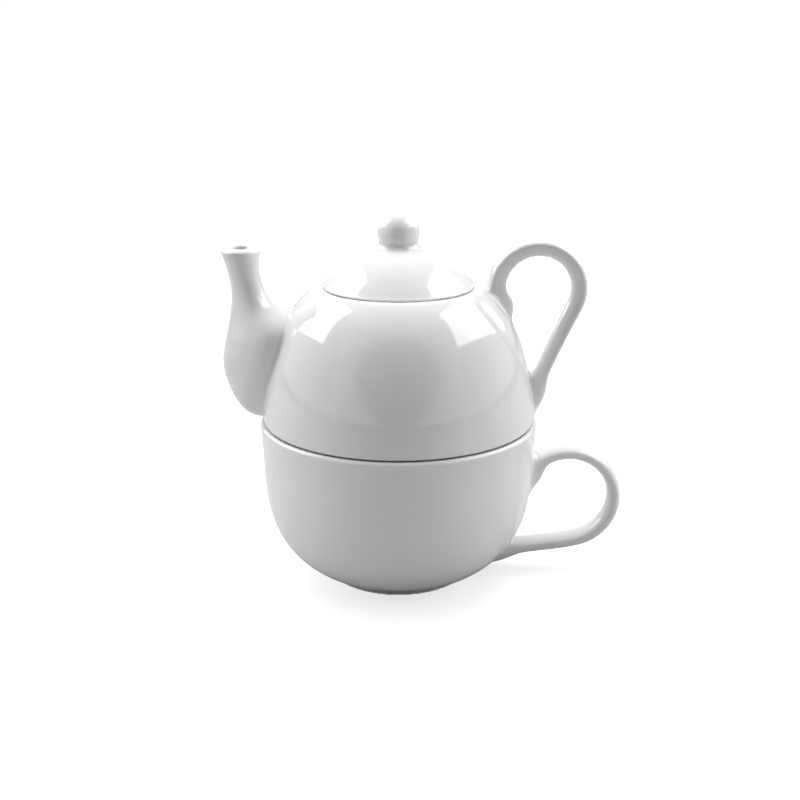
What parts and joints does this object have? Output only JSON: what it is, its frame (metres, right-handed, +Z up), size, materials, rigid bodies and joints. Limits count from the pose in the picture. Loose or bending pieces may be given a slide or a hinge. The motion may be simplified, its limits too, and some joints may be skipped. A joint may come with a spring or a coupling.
{
  "type": "tea for one teapot",
  "caption": "Stacked tea set for one: a domed teapot with upright curved spout, loop handle and ball-knob lid, nested in the mouth of a deep round cup that has its own loop handle.",
  "frame": {"origin": "centre of the cup's foot ring, in the plane that the set stands on", "axes": "+Z up along the shared axis of the cup, the teapot and the lid; -X towards the spout and +X towards both handles; -Y towards the side that the picture shows"},
  "size_m": [0.1632, 0.1124, 0.1508],
  "materials": {
    "glazed_porcelain": "gloss"
  },
  "bodies": {
    "root": {"cup": "glazed_porcelain", "teapot": "glazed_porcelain", "lid": "glazed_porcelain"}
  },
  "joints": []
}
